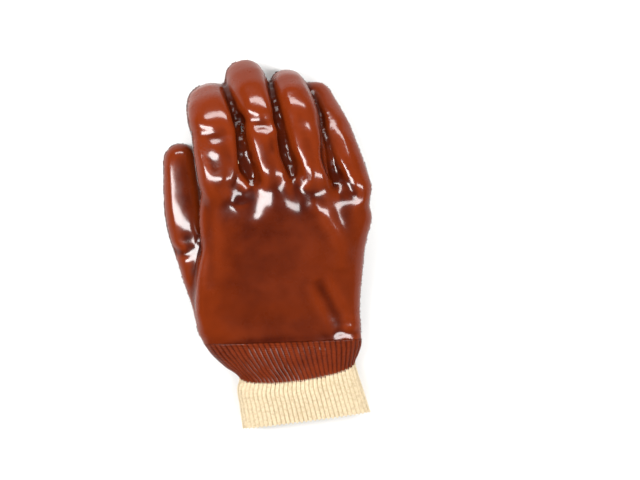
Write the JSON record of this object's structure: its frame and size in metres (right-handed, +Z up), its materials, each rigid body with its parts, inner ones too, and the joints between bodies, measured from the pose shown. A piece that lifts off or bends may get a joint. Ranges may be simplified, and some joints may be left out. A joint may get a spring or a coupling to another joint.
{
  "type": "pvc coated work glove",
  "caption": "Right-hand dipped work glove with a glossy coat, a rough palm side, a coated ribbed wrist and a knitted cuff, lying palm down.",
  "frame": {"origin": "middle of the bounding box, on the surface that the glove lies on", "axes": "+Y from the cuff towards the fingertips, +Z up out of the back of the hand, the thumb at -X"},
  "size_m": [0.1422, 0.251, 0.0634],
  "materials": {
    "pvc": "wet gloss, red-brown, smooth on the back and granular on the palm side",
    "pvc_rib": "gloss over knitted ribs",
    "cotton_knit": "matt cream cotton rib knit"
  },
  "bodies": {
    "root": {"pvc_hand": "pvc", "pvc_rib_band": "pvc_rib", "knit_cuff": "cotton_knit"}
  },
  "joints": []
}
